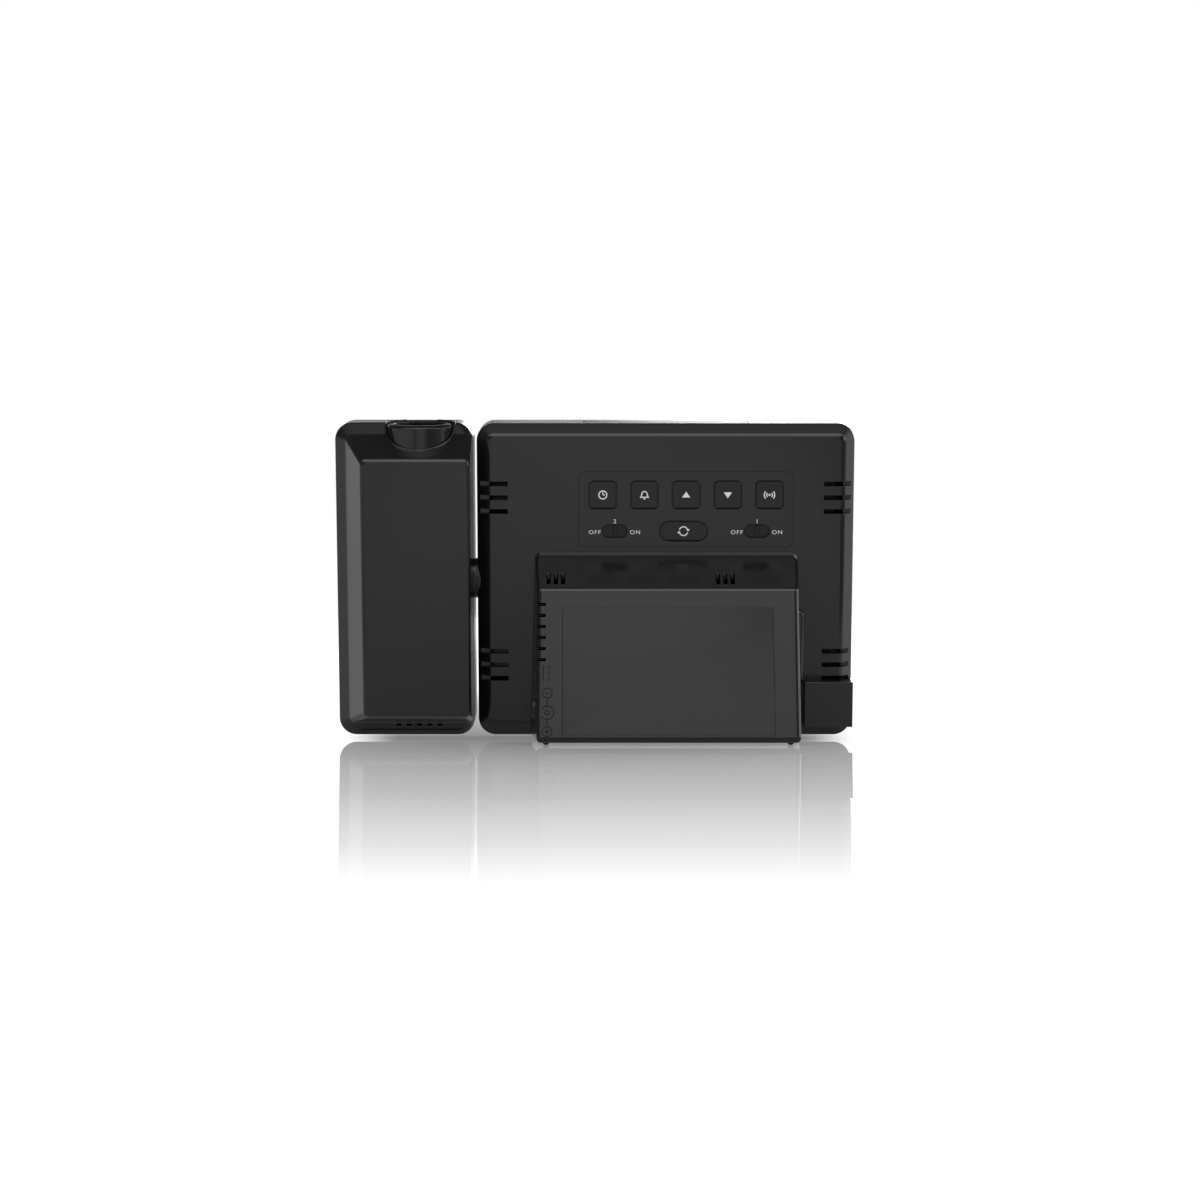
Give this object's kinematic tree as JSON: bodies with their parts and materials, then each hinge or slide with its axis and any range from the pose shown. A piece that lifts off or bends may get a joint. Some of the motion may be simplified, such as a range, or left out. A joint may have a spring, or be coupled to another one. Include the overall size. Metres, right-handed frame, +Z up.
{
  "type": "projection alarm clock",
  "caption": "Desk alarm clock on a wedge stand, with a display in front, rear keys, and a projector arm that swivels at one side with a focus ring on top.",
  "frame": {"origin": "middle of the object's box, on the surface that it stands on", "axes": "+Z up; the display faces -Y, the keys and the stand face +Y; the projector arm is at +X"},
  "size_m": [0.19, 0.0628, 0.1183],
  "materials": {
    "shell": "fine satin moulding",
    "stand": "fine satin moulding",
    "keys": "satin with pale printed signs",
    "switch": "matt black",
    "inner": "matt black",
    "ring": "smooth semi-gloss black",
    "window": "tinted gloss",
    "display": "satin",
    "diffuser": "white",
    "board": "green lacquer",
    "steel": "plain",
    "cells": "gloss sleeve",
    "rubber": "matt",
    "bush": "natural acetal",
    "wires": "insulated leads",
    "lens": "polished"
  },
  "bodies": {
    "case": {"front_frame": "shell", "display_window": "window", "lcd_panel": "display", "backlight_panel": "diffuser", "rear_shell": "shell", "key_panel": "shell", "slide_switch_bodies": "steel", "main_board": "board", "tact_switches": "switch", "board_screws": "steel", "case_screws": "steel", "stand_housing": "stand", "stand_screws": "steel", "battery_tray": "inner", "battery_contacts": "steel", "battery_cells": "cells", "speaker": "inner", "dc_jack": "inner", "dc_jack_pin": "steel", "usb_socket": "steel", "usb_tongue": "diffuser", "rear_feet": "rubber", "front_feet": "rubber", "hinge_bush": "bush"},
    "time_key": {"key_time": "keys"},
    "alarm_key": {"key_alarm": "keys"},
    "up_key": {"key_up": "keys"},
    "down_key": {"key_down": "keys"},
    "wave_key": {"key_wave": "keys"},
    "rotate_key": {"key_rotate": "keys"},
    "snooze_key": {"snooze_bar": "keys"},
    "switch_knob_1": {"alarm_switch_1": "switch"},
    "switch_knob_2": {"alarm_switch_2": "switch"},
    "door": {"battery_door": "stand"},
    "arm": {"arm_front_shell": "shell", "arm_rear_shell": "shell", "hinge_shaft": "steel", "spring_washer": "steel", "retaining_ring": "steel", "hinge_wires": "wires", "lens_barrel": "inner", "image_panel": "display", "condenser_lens": "lens", "lamp_board": "board", "lamp_screws": "steel"},
    "focus": {"focus_ring": "ring"},
    "carrier": {"lens_carrier": "inner", "projection_lens": "lens"}
  },
  "joints": [
    {"name": "time_key_press", "type": "slide", "parent": "case", "child": "time_key", "axis": [0, -0.989, 0.1478], "range_m": [0, 0.0006], "stiffness_N_per_m": 1500},
    {"name": "alarm_key_press", "type": "slide", "parent": "case", "child": "alarm_key", "axis": [0, -0.989, 0.1478], "range_m": [0, 0.0006], "stiffness_N_per_m": 1500},
    {"name": "up_key_press", "type": "slide", "parent": "case", "child": "up_key", "axis": [0, -0.989, 0.1478], "range_m": [0, 0.0006], "stiffness_N_per_m": 1500},
    {"name": "down_key_press", "type": "slide", "parent": "case", "child": "down_key", "axis": [0, -0.989, 0.1478], "range_m": [0, 0.0006], "stiffness_N_per_m": 1500},
    {"name": "wave_key_press", "type": "slide", "parent": "case", "child": "wave_key", "axis": [0, -0.989, 0.1478], "range_m": [0, 0.0006], "stiffness_N_per_m": 1500},
    {"name": "rotate_key_press", "type": "slide", "parent": "case", "child": "rotate_key", "axis": [0, -0.989, 0.1478], "range_m": [0, 0.0006], "stiffness_N_per_m": 1500},
    {"name": "snooze_press", "type": "slide", "parent": "case", "child": "snooze_key", "axis": [0, -0.1478, -0.989], "range_m": [0, 0.0008], "stiffness_N_per_m": 1800},
    {"name": "alarm_1_slide", "type": "slide", "parent": "case", "child": "switch_knob_1", "axis": [1, 0, 0], "range_m": [-0.002, 0.002]},
    {"name": "alarm_2_slide", "type": "slide", "parent": "case", "child": "switch_knob_2", "axis": [1, 0, 0], "range_m": [-0.002, 0.002]},
    {"name": "door_open", "type": "hinge", "parent": "case", "child": "door", "pos_m": [-0.0261, 0.03016, 0.00435], "axis": [-1, 0, 0], "range_deg": [0, 75]},
    {"name": "arm_swivel", "type": "hinge", "parent": "case", "child": "arm", "pos_m": [0.0446, -0.01404, 0.05968], "axis": [1, 0, 0], "range_deg": [-90, 90]},
    {"name": "focus_turn", "type": "hinge", "parent": "arm", "child": "focus", "pos_m": [0.0638, 0.00036, 0.11], "axis": [0, 0.1478, 0.989], "range_deg": [-120, 120]},
    {"name": "carrier_slide", "type": "slide", "parent": "arm", "child": "carrier", "axis": [0, 0.1478, 0.989], "range_m": [-0.0025, 0.0025]}
  ],
  "couplings": [
    {"joint": "carrier_slide", "follows": "focus_turn", "m_per_rad": 0.00119}
  ]
}
